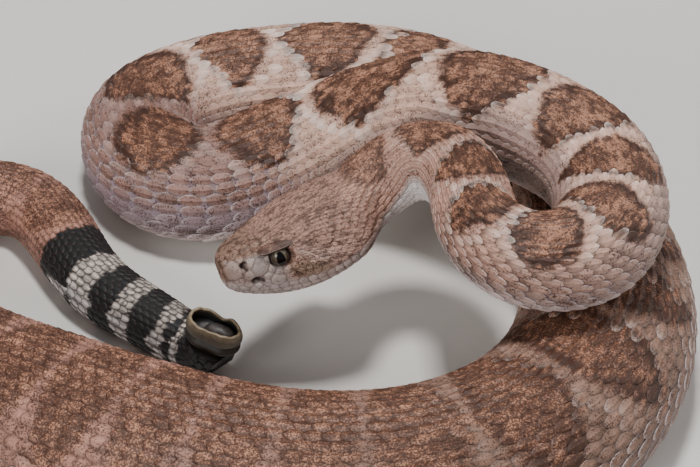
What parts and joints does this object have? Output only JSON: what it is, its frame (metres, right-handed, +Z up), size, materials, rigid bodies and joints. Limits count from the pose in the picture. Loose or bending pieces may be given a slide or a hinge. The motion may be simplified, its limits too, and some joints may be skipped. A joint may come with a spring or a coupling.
{
  "type": "western diamondback rattlesnake",
  "caption": "Western diamondback rattlesnake, life size, lying in a loose coil with its neck raised in an S, its head over the coil and the tail with its rattle curled up inside.",
  "frame": {"origin": "middle of the bounding box, on the floor", "axes": "+X to the right in the picture, along the longest side of the coil; +Y away from the camera; +Z up"},
  "size_m": [0.2203, 0.2018, 0.06],
  "materials": {
    "skin_neck": "matt keeled scales, pinkish brown with darker blotches",
    "skin_body": "matt keeled scales, pinkish brown with dark brown diamonds edged in cream",
    "skin_hind": "matt keeled scales, orange brown with faded diamonds",
    "skin_tail": "matt scales in black and chalk white rings",
    "skin_head": "matt small scales, pinkish brown",
    "skin_chin": "smooth pale scales, slightly glossy",
    "eye": "wet clear eye cover over a grey brown iris",
    "rattle": "translucent olive brown horn"
  },
  "bodies": {
    "root": {"body_01": "skin_body", "body_02": "skin_body", "body_03": "skin_body", "body_04": "skin_body", "body_05": "skin_body", "body_06": "skin_body", "body_07": "skin_body", "body_08": "skin_body", "body_09": "skin_body", "body_10": "skin_body", "body_11": "skin_body", "body_12": "skin_body", "body_13": "skin_body", "body_14": "skin_body", "body_15": "skin_body", "body_16": "skin_body", "body_17": "skin_hind", "body_18": "skin_hind", "body_19": "skin_hind", "eye_left": "eye", "eye_right": "eye", "head": "skin_head", "lower_jaw": "skin_chin", "neck_back": "skin_neck", "neck_front": "skin_neck", "neck_middle": "skin_neck", "rattle": "rattle", "tail_back": "skin_tail", "tail_front": "skin_tail", "tail_tip": "skin_tail"}
  },
  "joints": []
}
